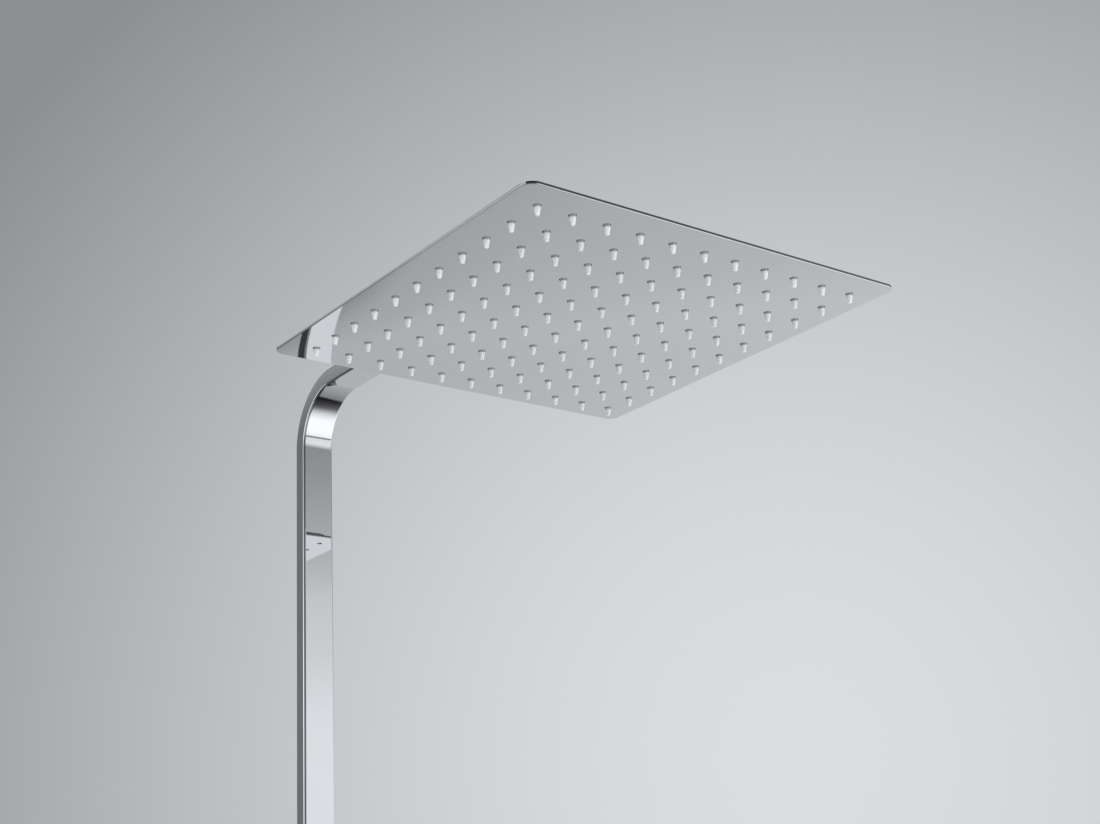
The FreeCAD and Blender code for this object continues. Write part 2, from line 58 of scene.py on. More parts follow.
# ---- Studio ------------------------------------------------------------------------------------
# Polished metal shows what it mirrors, so it gets grey panels to mirror: a low white one in front
# with a dark one over it, and greys behind and beside.  The camera sees a plain backdrop instead.
# Matt pieces get an even level, and two soft lamps that reflections leave out.
class Link:
    """A socket of a node tree.  Python's signs add Math nodes, and `node` adds any other kind."""

    def __init__(self, tree, socket=None):
        self.tree, self.socket = tree, socket

    def node(self, kind, settings=None, inputs=None, output=0):
        made = self.tree.nodes.new("ShaderNode" + kind)
        for name, value in (settings or {}).items():
            if name == "stops":
                stops = made.color_ramp.elements
                ends = (value[0], value[-1])
                for stop, (place, colour) in zip(stops, ends):
                    stop.position, stop.color = place, (*colour, 1)
                for place, colour in value[1:-1]:
                    stops.new(place).color = (*colour, 1)
            else:
                setattr(made, name, value)
        for name, value in (inputs or {}).items():
            if isinstance(value, Link):
                self.tree.links.new(value.socket, made.inputs[name])
            else:
                made.inputs[name].default_value = value
        return Link(self.tree, made.outputs[output])

    def output(self, name):
        return Link(self.tree, self.socket.node.outputs[name])

    def maths(self, operation, first, second=0.0):
        return self.node("Math", {"operation": operation}, {0: first, 1: second})

    def __add__(self, other):
        return self.maths("ADD", self, other)

    def __sub__(self, other):
        return self.maths("SUBTRACT", self, other)

    def __rsub__(self, other):
        return self.maths("SUBTRACT", other, self)

    def __mul__(self, other):
        return self.maths("MULTIPLY", self, other)

    __radd__, __rmul__ = __add__, __mul__

    def ease(self, start, end):
        """0 before start and 1 after end, with a soft step between."""
        return self.node("MapRange", {"interpolation_type": "SMOOTHSTEP"},
                         {0: self, 1: start, 2: end})

    def limited(self, low, high):
        return self.node("Clamp", inputs={0: self, 1: low, 2: high})

    def mixed(self, first, second):
        """From the first colour to the second as this value goes from 0 to 1."""
        return self.node("Mix", {"data_type": "RGBA"}, {0: self, 6: first, 7: second}, output=2)

    def of_colour(self, colour):
        """This value's share of a colour."""
        return self.node("VectorMath", {"operation": "SCALE"}, {0: colour, "Scale": self})


def tones(sky, height, levels):
    """Grey levels at heights from -1, straight down, to 1, straight up."""
    stops = [((z + 1) / 2, (level, level, level)) for z, level in levels]
    return sky.node("ValToRGB", {"stops": stops}, {0: height * 0.5 + 0.5})


studio = bpy.data.worlds.new("studio")
bpy.context.scene.world = studio
studio.use_nodes = True
studio.node_tree.nodes.clear()
studio.cycles.sampling_method = "NONE"
sky = Link(studio.node_tree)
direction = sky.node("TexCoord", output="Generated")
view = sky.node("SeparateXYZ", inputs={0: direction})
across, inward, height = view.output(0), view.output(1), view.output(2)
azimuth = across.maths("ARCTAN2", across, inward * -1.0)

front = tones(sky, height, [
    (-1, 0.02), (-0.885, 0.045), (-0.877, 0.065), (-0.861, 0.105), (-0.839, 0.216),
    (-0.813, 0.42), (-0.78, 0.64), (-0.75, 0.78), (-0.68, 0.98), (-0.60, 1.12), (-0.28, 1.12),
    (-0.16, 1.04), (-0.05, 0.79), (0.13, 0.83), (0.165, 0.81), (0.195, 0.69), (0.225, 0.64),
    (0.244, 0.52), (0.271, 0.41), (0.30, 0.32), (0.40, 0.11), (0.50, 0.05), (0.85, 0.06),
    (1, 0.70)])
behind = tones(sky, height, [
    (-1, 0.02), (-0.885, 0.02), (-0.873, 0.012), (-0.862, 0.26), (-0.81, 0.31), (-0.75, 0.36),
    (-0.60, 0.41), (-0.50, 0.44), (-0.43, 0.455), (-0.40, 0.475), (-0.375, 0.52), (-0.35, 0.51),
    (-0.32, 0.52), (-0.15, 0.60), (0.10, 0.45), (0.22, 0.15), (0.35, 0.07), (0.55, 0.07),
    (0.75, 0.5), (1, 0.85)])
left = tones(sky, height, [
    (-1, 0.06), (-0.20, 0.065), (0.05, 0.165), (0.32, 0.165), (0.42, 0.48), (0.50, 0.30),
    (0.60, 0.08), (0.80, 0.08), (1, 0.80)])
white_side = tones(sky, height, [
    (-1, 0.72), (0.05, 0.80), (0.168, 1.10), (0.205, 1.00), (0.25, 0.80), (0.30, 0.55),
    (0.40, 0.50), (1, 0.60)])
dark_side = tones(sky, height, [
    (-1, 0.04), (-0.8, 0.15), (-0.6, 0.30), (-0.15, 0.30), (0.05, 0.14), (0.30, 0.10),
    (0.40, 0.02), (0.60, 0.02), (0.75, 0.50), (1, 0.90)])

fade = ((across - 0.55) * 0.9 + 1.0).limited(0.45, 1.4)
far_corner = across.ease(0.42, 0.46) * 0.24 + 0.76
on_white = azimuth.ease(-2.50, -2.42) * azimuth.ease(-1.45, -1.55) * height.ease(-0.25, -0.05)
on_dark = azimuth.ease(-1.52, -1.48) * azimuth.ease(0.35, -0.20)
mirrored = across.ease(-0.05, -0.35).mixed((fade * far_corner).of_colour(behind), left)
mirrored = inward.ease(0.10, -0.10).mixed(mirrored, front)
mirrored = on_white.mixed(mirrored, white_side)
mirrored = on_dark.mixed(mirrored, dark_side)
cool_tint = (0.985, 1.0, 1.035)
mirrored = sky.node("VectorMath", {"operation": "MULTIPLY"}, {0: mirrored, 1: cool_tint})

paths = sky.node("LightPath")
second_loss = 1 - paths.output("Ray Depth").ease(2.2, 2.8) * 0.28
mirrored = second_loss.of_colour(mirrored)

pale_spot, palest, darkest, narrowness = (0.7057, 0.6967, 0.1288), 0.72, 0.27, 6.0
paper_tint = (0.98, 1.0, 1.04)
nearness = sky.node("VectorMath", {"operation": "DOT_PRODUCT"}, {0: direction, 1: pale_spot},
                    output="Value")
falloff = sky.maths("EXPONENT", (nearness - 1) * narrowness)
backdrop = (falloff * palest).limited(darkest, 1.0).of_colour(paper_tint)

even_level = (0.93, 0.94, 0.95, 1)
seen = paths.output("Is Glossy Ray").mixed(even_level, mirrored)
seen = (paths.output("Is Camera Ray") + paths.output("Is Transmission Ray")).mixed(seen, backdrop)
glow = sky.node("Background", inputs={0: seen})
world_out = studio.node_tree.nodes.new("ShaderNodeOutputWorld")
studio.node_tree.links.new(glow.socket, world_out.inputs[0])


def new_finish(name):
    """An empty material, a link to build its nodes from, and a piece's own coordinates."""
    material = bpy.data.materials.new(name)
    material.use_nodes = True
    material.node_tree.nodes.clear()
    link = Link(material.node_tree)
    return material, link, link.node("TexCoord", output="Object")


def noise(place, scale, detail, **more):
    """A cloudy pattern over a piece."""
    return place.node("TexNoise", inputs={0: place, "Scale": scale, "Detail": detail, **more})


def bumps(height, distance, strength=1.0):
    """Normals that follow a pattern; the distance is its depth in metres."""
    return height.node("Bump", inputs={"Height": height, "Distance": distance,
                                       "Strength": strength})


def surface(link, **sockets):
    """The shader and its output: sockets are named as in the shader, with _ for a space."""
    inputs = {name.replace("_", " "): value for name, value in sockets.items()}
    shader = link.node("BsdfPrincipled", inputs=inputs)
    out = link.tree.nodes.new("ShaderNodeOutputMaterial")
    link.tree.links.new(shader.socket, out.inputs[0])


floor_paint, link, place = new_finish("floor_paint")
cloud = noise(place, 0.7, 3.0)
surface(link, Base_Color=cloud.mixed((0.60, 0.605, 0.62, 1), (0.66, 0.665, 0.68, 1)),
        Roughness=0.9)
floor_place = Matrix.Translation((0, -0.3, -1.65))
floor_shape = bmesh.new()
bmesh.ops.create_grid(floor_shape, x_segments=8, y_segments=8, size=7, matrix=floor_place)
floor_mesh = bpy.data.meshes.new("floor")
floor_shape.to_mesh(floor_mesh)
floor_shape.free()
floor_mesh.materials.append(floor_paint)
floor = bpy.data.objects.new("floor", floor_mesh)
floor.visible_glossy = False
bpy.context.scene.collection.objects.link(floor)

lamp_power, lamp_size, lamp_target = 16, 1.4, Vector((0, -0.3, 0.3))
for name, spot in (("key", Vector((-1.6, -1.9, 0.9))), ("low_fill", Vector((0.9, -1.7, -0.9)))):
    lamp = bpy.data.objects.new(name, bpy.data.lights.new(name, "AREA"))
    lamp.data.energy, lamp.data.size = lamp_power, lamp_size
    lamp.location = spot
    lamp.rotation_euler = (lamp_target - spot).to_track_quat("-Z", "Y").to_euler()
    lamp.visible_glossy = False
    bpy.context.scene.collection.objects.link(lamp)


# ---- Column tube -------------------------------------------------------------------------------
# Flat brass tube, 27 by 13.5, bent once on a former, polished and chrome plated.
# Its lower end takes the brazed foot, its upper end the cap, and the outlet sits in a drilled hole.
def clipped(shape, verts, radius, steps):
    """Rounds corners of a flat face and returns the new vertices."""
    return bmesh.ops.bevel(shape, geom=verts, offset=radius, segments=steps, profile=0.5,
                           affect="VERTICES", material=-1)["verts"]


def rounded_sheet(shape, width, depth, corner, z=0.0, steps=6):
    """One flat face about Z: a rectangle with round corners."""
    spread = Matrix.Translation((0, 0, z)) @ Matrix.Diagonal((width, depth, 1, 1))
    corners = bmesh.ops.create_grid(shape, x_segments=1, y_segments=1, size=0.5,
                                    matrix=spread)["verts"]
    return clipped(shape, corners, corner, steps)[0].link_faces[0]


def drawn_out(shape, faces, offset):
    """Draws faces out along an offset, with walls behind them, and returns what moved."""
    moved = bmesh.ops.extrude_face_region(shape, geom=faces)["geom"]
    verts = [v for v in moved if isinstance(v, bmesh.types.BMVert)]
    bmesh.ops.translate(shape, verts=verts, vec=offset)
    return moved


def pulled(shape, face, offset):
    """Draws one face out and returns it where it moved; none stays behind across the inside."""
    walled = any(len(edge.link_faces) > 1 for edge in face.edges)
    moved = drawn_out(shape, [face], offset)
    if walled:
        bmesh.ops.delete(shape, geom=[face], context="FACES_ONLY")
    return next(f for f in moved if isinstance(f, bmesh.types.BMFace))


def opened(shape, face):
    """Takes a face away and returns the loop of edges round its hole."""
    loop = list(face.edges)
    bmesh.ops.delete(shape, geom=[face], context="FACES_ONLY")
    return loop


def ring(shape, diameter, steps, centre):
    """A loop of edges round a circle about Z."""
    verts = bmesh.ops.create_circle(shape, segments=steps, radius=diameter / 2,
                                    matrix=Matrix.Translation(centre))["verts"]
    return list(dict.fromkeys(edge for vert in verts for edge in vert.link_edges))


weld, metre = 0.001, Matrix.Scale(0.001, 4)


def make_piece(name, shape, centre, body, slot, finish, *nodes, turn=Matrix.Identity(4),
               crease=40):
    """Welds a mesh drawn in millimetres, puts it in place in metres, and lets it stand for its
    solids."""
    bmesh.ops.remove_doubles(shape, verts=shape.verts, dist=weld)
    bmesh.ops.recalc_face_normals(shape, faces=shape.faces)
    bmesh.ops.transform(shape, matrix=metre @ Matrix.Translation(centre) @ turn,
                        verts=shape.verts)
    mesh = bpy.data.meshes.new(name)
    shape.to_mesh(mesh)
    shape.free()
    mesh.shade_smooth()
    mesh.set_sharp_from_angle(angle=math.radians(crease))
    mesh.materials.append(finish)
    piece = bpy.data.objects.new(name, mesh)
    bpy.context.scene.collection.objects.link(piece)
    even = piece.modifiers.new("even_shading", "WEIGHTED_NORMAL")
    even.keep_sharp, even.weight = True, 100
    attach(piece, body)
    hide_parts(*nodes)
    return piece


chrome, link, place = new_finish("polished_chrome")
film = noise(place, 9.0, 4.0, Roughness=0.6)
scuffs = noise(place, 900.0, 2.0)
waves = noise(place, 30.0, 1.0)
surface(link,
        Base_Color=film.mixed((0.85, 0.86, 0.875, 1), (0.89, 0.895, 0.90, 1)),
        Roughness=film.ease(0.45, 0.85) * 0.03 + scuffs * 0.02 + 0.015,
        Metallic=1.0,
        Normal=bumps(waves, 0.00003, 0.6))

tube_width, tube_depth, tube_corner, tube_wall = 27.0, 13.5, 2.0, 1.5
column_y, foot_z, arm_z, bend_r = -65.0, -607.0, 410.75, 48.75
outlet_y, tube_end_y = -425.0, -443.0
arm_underside = arm_z - tube_depth / 2
outlet_patch, outlet_hole, bend_steps = 22.0, 18.1, 48
tube = bmesh.new()
foot_face = rounded_sheet(tube, tube_width, tube_depth, tube_corner, foot_z)
bmesh.ops.translate(tube, verts=tube.verts, vec=(0, column_y, 0))
face = pulled(tube, foot_face, (0, 0, arm_z - bend_r - foot_z))
bent = bmesh.ops.spin(tube, geom=[face, *face.edges, *face.verts],
                      cent=(0, column_y - bend_r, arm_z - bend_r), axis=(1, 0, 0),
                      angle=math.pi / 2, steps=bend_steps)["geom_last"]
face = next(f for f in bent if isinstance(f, bmesh.types.BMFace))
face = pulled(tube, face, (0, outlet_y + outlet_patch / 2 - column_y + bend_r, 0))
face = pulled(tube, face, (0, -outlet_patch, 0))
face = pulled(tube, face, (0, tube_end_y - outlet_y + outlet_patch / 2, 0))
patch_faces = [f for f in tube.faces if abs(f.calc_center_median().y - outlet_y) < 1]
under = min(patch_faces, key=lambda f: f.calc_center_median().z)
hole = opened(tube, under) + ring(tube, outlet_hole, 32, (0, outlet_y, arm_underside))
bmesh.ops.bridge_loops(tube, edges=hole)
bmesh.ops.delete(tube, geom=[foot_face, face], context="FACES_ONLY")
bmesh.ops.remove_doubles(tube, verts=tube.verts, dist=weld)
bmesh.ops.recalc_face_normals(tube, faces=tube.faces)
bmesh.ops.solidify(tube, geom=tube.faces, thickness=tube_wall)
make_piece("flat_tube", tube, (0, 0, 0), "column", "chrome", chrome, "column_tube", crease=30)


# ---- Arm's end cap -----------------------------------------------------------------------------
# Machined brass cap with a plug that goes up the arm; pressed in, brazed, and plated with the
# tube.
def eased(shape, edges, offset, steps=3):
    """Rounds edges off."""
    bmesh.ops.bevel(shape, geom=edges, offset=offset, segments=steps, profile=0.5,
                    affect="EDGES", material=-1)


cap_depth, cap_ease, plug_length, plug_overlap = 2.0, 0.6, 8.0, 0.02
plug_inset, plug_corner = 3.1, 0.4
plug_width, plug_depth = tube_width - plug_inset, tube_depth - plug_inset
facing_forward = Matrix.Rotation(math.pi / 2, 4, "X")
cap = bmesh.new()
front_face = pulled(cap, rounded_sheet(cap, tube_width, tube_depth, tube_corner), (0, 0, cap_depth))
eased(cap, list(front_face.edges), cap_ease)
cap_plug = rounded_sheet(cap, plug_width, plug_depth, plug_corner, -plug_length, 2)
pulled(cap, cap_plug, (0, 0, plug_length + plug_overlap))
make_piece("arm_cap", cap, (0, tube_end_y, arm_z), "column", "chrome", chrome, "arm_end_cap",
           turn=facing_forward)


# ---- Outlet nipple and flow regulator ----------------------------------------------------------
# Turned brass nipple, brazed up through the arm's underside; its shoulder meets the ball stud.
# A moulded plastic regulator disc sits in its end.
def turned(shape, corners, steps=96):
    """Spins a closed section about Z.  A corner is (radius, height), and a third number rounds
    it."""
    before = set(shape.faces)
    verts = [shape.verts.new((corner[0], 0, corner[1])) for corner in corners]
    shape.faces.new(verts)
    for vert, corner in zip(verts, corners):
        if len(corner) == 3:
            clipped(shape, [vert], corner[2], 3)
    section = next(f for f in shape.faces if f not in before)
    loop = opened(shape, section)
    swept = list(dict.fromkeys(v for edge in loop for v in edge.verts))
    bmesh.ops.spin(shape, geom=loop + swept, cent=(0, 0, 0), axis=(0, 0, 1), angle=2 * math.pi,
                   steps=steps, use_merge=True)


pipe_pitch = 1.814
crest_end, root_start, root_end = 0.2, 0.5, 0.65


def thread(crest, root, start, end, pitch):
    """Corners of a screw thread's outline between two heights."""
    turns = int(abs(end - start) / pitch)
    step = math.copysign(pitch, end - start)
    corners = []
    for i in range(turns):
        at = start + i * step
        corners += [(crest, at), (crest, at + crest_end * step),
                    (root, at + root_start * step), (root, at + root_end * step)]
    return corners + [(crest, start + turns * step)]


nipple = bmesh.new()
turned(nipple,
       [(5.5, 2.5), (9.0, 2.5), (9.0, 0), (12.5, 0, 0.15), (12.5, -2.0, 0.4), (10.2, -2.0)]
       + thread(10.2, 9.5, -2.4, -9.6, pipe_pitch)
       + [(9.7, -10.5), (6.55, -10.5), (6.55, -7.45), (5.5, -7.45)], 64)
make_piece("threaded_outlet", nipple, (0, outlet_y, arm_underside), "column", "chrome", chrome,
           "outlet_nipple")

moulded_blue, link, place = new_finish("moulded_blue_plastic")
grain = noise(place, 1600.0, 3.0)
swirl = noise(place, 120.0, 2.0, Distortion=1.5)
surface(link,
        Base_Color=swirl.mixed((0.03, 0.10, 0.32, 1), (0.05, 0.14, 0.40, 1)),
        Roughness=grain * 0.15 + 0.3,
        Normal=bumps(grain, 0.00002, 0.5))


def dress(finish, *names):
    """Gives CAD nodes that are shown as they are a finish."""
    for name in names:
        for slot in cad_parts[name].material_slots:
            slot.material = finish


dress(moulded_blue, "flow_regulator")


# ---- Ball joint --------------------------------------------------------------------------------
# Chromed brass: a ball stud with two spanner flats screws on the outlet, and a round nut clamps
# the ball between a plastic and a rubber ring in the hub that is welded to the plate's back.
def milled(shape, faces, point, normal):
    """Cuts a flat off a closed shape and fills it."""
    edges = dict.fromkeys(e for f in faces for e in f.edges)
    verts = dict.fromkeys(v for f in faces for v in f.verts)
    cut = bmesh.ops.bisect_plane(shape, geom=[*faces, *edges, *verts], plane_co=point,
                                 plane_no=normal, clear_outer=True, dist=0.0001)["geom_cut"]
    bmesh.ops.holes_fill(shape, edges=[e for e in cut if isinstance(e, bmesh.types.BMEdge)])


pivot = (0, outlet_y, 375.7)
ball_r, ball_steps = 11, 24
ball_start, ball_sweep = math.radians(-49.78), math.radians(103.52)
ball_angles = [ball_start + i * ball_sweep / ball_steps for i in range(ball_steps + 1)]
ball_arc = [(ball_r * math.cos(a), ball_r * math.sin(a)) for a in ball_angles]
stud_half_flat, nut_half_flat = 11.5, 17.0

stud = bmesh.new()
turned(stud, [(4.0, 14.0), (13.0, 14.0, 0.4), (13.0, 19.02), (4.0, 19.02)])
for side in (1, -1):
    milled(stud, list(stud.faces), (side * stud_half_flat, 0, 0), (side, 0, 0))
turned(stud, [(4.0, -8.4)] + ball_arc + [(6.5, 14.0), (6.5, 14.5), (4.0, 14.5)])
turned(stud, [(4.0, 19.0), (13.0, 19.0, 0.2), (13.0, 26.0, 0.5), (10.5, 26.0, 0.3),
              (10.5, 16.0), (4.0, 16.0)])
make_piece("ball_stud_turned", stud, pivot, "ball_stud", "chrome", chrome, "ball_stud")

hub_pitch = 1.5
hub = bmesh.new()
turned(hub, [(6.5, -17.7), (8.0, -17.7), (8.0, -16.7), (28.0, -16.7, 0.3), (28.0, -14.7, 0.6),
             (15.6, -14.7, 0.5), (14.5, -13.9)] + thread(14.5, 13.8, -13.0, 1.4, hub_pitch)
       + [(14.2, 2.9), (12.6, 2.9, 0.3), (12.6, -10.2), (6.5, -10.2)])
make_piece("inlet_hub_turned", hub, pivot, "head", "chrome", chrome, "inlet_hub")

nut = bmesh.new()
turned(nut, [(14.55, -14.4), (18.5, -14.4, 0.5), (18.5, 9.45, 1.4), (8.954, 9.45, 0.2),
             (8.57, 7.65), (14.55, 7.65)])
for side in (1, -1):
    milled(nut, list(nut.faces), (side * nut_half_flat, 0, 0), (side, 0, 0))
make_piece("ball_joint_nut", nut, pivot, "head", "chrome", chrome, "swivel_nut")

natural_plastic, link, place = new_finish("natural_slide_plastic")
cloud = noise(place, 180.0, 4.0)
tool = link.node("TexWave", {"wave_type": "RINGS", "rings_direction": "Z"},
                 {0: place, "Scale": 700.0})
surface(link,
        Base_Color=cloud.mixed((0.74, 0.72, 0.66, 1), (0.82, 0.80, 0.75, 1)),
        Roughness=cloud * 0.15 + 0.35,
        Subsurface_Weight=0.15,
        Subsurface_Scale=0.002,
        Normal=bumps(tool, 0.00002, 0.4))

black_rubber, link, place = new_finish("black_seal_rubber")
bloom = noise(place, 260.0, 5.0)
grain = noise(place, 2400.0, 2.0)
surface(link,
        Base_Color=bloom.mixed((0.016, 0.016, 0.018, 1), (0.045, 0.044, 0.043, 1)),
        Roughness=bloom * 0.2 + 0.5,
        Normal=bumps(grain, 0.00003, 0.6))

woven_steel, link, place = new_finish("woven_steel_gauze")
warp = link.node("TexWave", {"bands_direction": "X"}, {0: place, "Scale": 260.0})
weft = link.node("TexWave", {"bands_direction": "Y"}, {0: place, "Scale": 260.0})
weave = link.maths("MAXIMUM", warp, weft)
surface(link,
        Base_Color=weave.mixed((0.08, 0.08, 0.08, 1), (0.62, 0.62, 0.61, 1)),
        Roughness=weave * -0.2 + 0.5,
        Metallic=1.0,
        Normal=bumps(weave, 0.0001))

dress(natural_plastic, "ball_liner")
dress(black_rubber, "ball_seal", "filter_gasket")
dress(woven_steel, "filter_screen")

# ---- Face plate --------------------------------------------------------------------------------
# Mirror-polished stainless sheet, 1 thick, with 121 punched holes; its rim is welded to the back
# plate's flange and ground round.
head = (0, outlet_y, 350.0)
plate_side, plate_corner, corner_steps, sheet = 300.0, 8.0, 8, 1.0
rows, pitch, cell = 11, 25.6, 16.0
face_hole, face_ease, sharp_angle = 5.2, 0.4, 0.8
row_lines = [pitch * (i - rows // 2) for i in range(rows)]

mirror, link, place = new_finish("mirror_stainless")
patches = noise(place, 7.0, 5.0, Roughness=0.6)
drawn = link.node("Mapping", inputs={0: place, "Scale": (1, 30, 1)})
hairs = noise(drawn, 60.0, 2.0)
sag = noise(place, 5.0, 1.0)
on_plate = link.node("SeparateXYZ", inputs={0: place})
rim = link.node("MapRange", inputs={0: on_plate, 1: -0.09, 2: -0.15, 3: 0.0, 4: 1.0})
towards_front = link.node("MapRange",
                          inputs={0: on_plate.output("Y"), 1: -0.27, 2: -0.39, 3: 0.15, 4: 0.95})
dish = 1 - rim * rim * towards_front
surface(link,
        Base_Color=patches.mixed((0.83, 0.835, 0.84, 1), (0.87, 0.875, 0.88, 1)),
        Roughness=patches.ease(0.4, 0.9) * 0.03 + hairs * 0.015 + 0.02,
        Metallic=1.0,
        Normal=bumps(sag * 0.1 + dish, 0.0016))


def punched(shape, side, corner, z, hole, steps):
    """Flat sheet about Z with a round hole for each nozzle; returns its outer loop."""
    count = 2 * rows + 1
    grid = bmesh.ops.create_grid(shape, x_segments=count, y_segments=count,
                                 size=count / 2)["verts"]
    lines = [at + half for at in row_lines for half in (-cell / 2, cell / 2)]
    lines = [-side / 2, *lines, side / 2]
    for vert in grid:
        vert.co = (lines[round(vert.co.x + count / 2)], lines[round(vert.co.y + count / 2)], z)
    corners = [v for v in grid if abs(v.co.x) == abs(v.co.y) == side / 2]
    cells = [f for f in shape.faces if f.verts[0] in grid and f.calc_area() > 0.99 * cell * cell
             and all(abs(c / pitch - round(c / pitch)) < 0.01
                     for c in f.calc_center_median()[:2])]
    clipped(shape, corners, corner, corner_steps)
    for face in cells:
        centre = face.calc_center_median()
        loops = opened(shape, face) + ring(shape, hole, steps, centre)
        bmesh.ops.bridge_loops(shape, edges=loops)
    sheet_faces = [f for f in shape.faces if all(abs(v.co.z - z) < weld for v in f.verts)]
    for face in sheet_faces:
        if face.normal.z > 0:
            face.normal_flip()
    edges = dict.fromkeys(e for f in sheet_faces for e in f.edges)
    return [e for e in edges if len(e.link_faces) == 1
            and max(map(abs, e.verts[0].co[:2])) > side / 2 - corner]


def rim_edges(shape):
    """Sharp edges that run round the plate's rim."""
    return [e for e in shape.edges if e.calc_face_angle(0) > sharp_angle
            and all(max(abs(v.co.x), abs(v.co.y)) > plate_side / 2 - plate_corner for v in e.verts)
            and abs(e.verts[0].co.z - e.verts[1].co.z) < 0.1]


wet_face = bmesh.new()
punched(wet_face, plate_side, plate_corner, 0.0, face_hole, 24)
bmesh.ops.solidify(wet_face, geom=wet_face.faces, thickness=sheet)
low_rim = [e for e in rim_edges(wet_face) if e.verts[0].co.z < 0.5 * sheet]
eased(wet_face, low_rim, face_ease, 4)
make_piece("rain_face", wet_face, head, "head", "mirror_stainless", mirror, "face_plate")


# ---- Back plate --------------------------------------------------------------------------------
# The same sheet, pressed to a shallow pan with soft shoulders and polished; the hub covers its
# hole.
def square_loop(shape, side, corner, z):
    """A loop of edges round a square about Z, with round corners."""
    return opened(shape, rounded_sheet(shape, side, side, corner, z, corner_steps))


def faced_up(shape):
    """Turns an open pressing's faces to +Z, so that its thickness grows inwards."""
    bmesh.ops.recalc_face_normals(shape, faces=shape.faces)
    if sum(f.normal.z * f.calc_area() for f in shape.faces) < 0:
        bmesh.ops.reverse_faces(shape, faces=shape.faces)


pan_foot, pan_top, pan_height, pan_bend, pan_ease = 278.0, 266.0, 9.0, 2.2, 0.25
inlet_hole = 16.1
pan = bmesh.new()
flange = square_loop(pan, plate_side, plate_corner, 2 * sheet)
foot = square_loop(pan, pan_foot, plate_corner, 2 * sheet)
shoulder = square_loop(pan, pan_top, plate_corner, pan_height)
inlet = ring(pan, inlet_hole, 48, (0, 0, pan_height))
for outer, inner in ((flange, foot), (foot, shoulder), (shoulder, inlet)):
    bmesh.ops.bridge_loops(pan, edges=outer + inner)
faced_up(pan)
eased(pan, foot + shoulder, pan_bend, 5)
bmesh.ops.solidify(pan, geom=pan.faces, thickness=sheet)
high_rim = [e for e in rim_edges(pan) if all(v.co.z > 1.9 * sheet for v in e.verts)]
eased(pan, high_rim, pan_ease, 3)
make_piece("pressed_pan", pan, head, "head", "mirror_stainless", mirror, "back_plate", crease=50)

# ---- Nozzle mat --------------------------------------------------------------------------------
# One moulding of milky silicone: a mat behind the face plate with 121 soft nozzles that stand
# through its holes, so that lime can be rubbed off them.  Reflections leave them out.
silicone, link, place = new_finish("milky_silicone")
spots = noise(place, 350.0, 3.0)
fine = noise(place, 2600.0, 2.0)
# Painted shade: above a height just under the face plate, the nozzles' roots and the mat seen
# through the holes are coloured dark grey to stand in for the shade in the holes.
painted_hole_shade = link.node("SeparateXYZ", inputs={0: place}).output(2).ease(0.3480, 0.3490)
milky = spots.mixed((0.92, 0.925, 0.93, 1), (0.96, 0.965, 0.97, 1))
surface(link,
        Base_Color=painted_hole_shade.mixed(milky, (0.42, 0.425, 0.43, 1)),
        Roughness=spots * 0.15 + 0.25,
        Subsurface_Weight=0.2,
        Subsurface_Scale=0.001,
        Subsurface_Radius=(1, 1, 1),
        Normal=bumps(fine, 0.00001, 0.3))

mat_side, mat_corner, mat_top = 273.9, 6.4, 2.5
mat_hole, bore_hole, nozzle_steps = 4.8, 3.0, 12
mat = bmesh.new()
lower = punched(mat, mat_side, mat_corner, sheet, mat_hole, nozzle_steps)
upper = punched(mat, mat_side, mat_corner, mat_top, bore_hole, nozzle_steps)
bmesh.ops.bridge_loops(mat, edges=lower + upper)
profile = [(2.3, sheet), (2.1, -1.0), (2.2, -1.4), (2.15, -1.9), (1.9, -3.3), (1.4, -5.5),
           (1.2, -6.3), (1.0, -6.5), (0.6, -6.5), (0.6, -2.0), (bore_hole / 2, mat_top)]
for x, y in [(x, y) for x in row_lines for y in row_lines]:
    line = [mat.verts.new((x + r, y, z)) for r, z in profile]
    edges = [mat.edges.new(pair) for pair in zip(line, line[1:])]
    bmesh.ops.spin(mat, geom=line + edges, cent=(x, y, 0), axis=(0, 0, 1), angle=2 * math.pi,
                   steps=nozzle_steps, use_merge=True)
nozzles = make_piece("silicone_nozzles", mat, head, "head", "silicone", silicone, "nozzle_mat",
                     crease=60)
nozzles.visible_glossy = False

# ---- Inside the plate --------------------------------------------------------------------------
# Rolled stainless: a frame and 16 posts press the mat on the face plate, and a baffle on four legs
# spreads the inflow.  All are welded under the pan and don't show.
rolled_steel, link, place = new_finish("rolled_stainless")
stretched = link.node("Mapping", inputs={0: place, "Scale": (1, 40, 40)})
lines = noise(stretched, 40.0, 5.0)
surface(link,
        Base_Color=lines.mixed((0.50, 0.50, 0.50, 1), (0.62, 0.62, 0.61, 1)),
        Roughness=lines * 0.25 + 0.22,
        Metallic=1.0,
        Normal=bumps(lines, 0.00003, 0.5))
dress(rolled_steel, "mat_clamp_frame", "stand_offs", "diffuser_plate")

# ---- Bracket -----------------------------------------------------------------------------------
# The cast bracket slips on the spigot of a screwed plate, and its sleeve holds the tube in a
# plastic liner.  Grub screws lock both, and a pressed cover hides the plate.
dress(rolled_steel, "wall_plate")
sleeve_height, sleeve_ease, rim_angle = 36.0, 0.6, 1.2
sleeve_outside, sleeve_bore = (33.8, 20.3, 4.5), (28.8, 15.3, 2.8)
post_side, post_corner, post_start, post_length = 20.0, 1.5, 3.3, 50.2
flare_length, flare, socket_rim, socket_depth = 2.0, 1.07, 2.95, 16.0
bracket = bmesh.new()
outside = rounded_sheet(bracket, *sleeve_outside, -sleeve_height / 2)
inside = rounded_sheet(bracket, *sleeve_bore, -sleeve_height / 2)
loops = opened(bracket, outside) + opened(bracket, inside)
bottom = bmesh.ops.bridge_loops(bracket, edges=loops)["faces"]
drawn_out(bracket, bottom, (0, 0, sleeve_height))
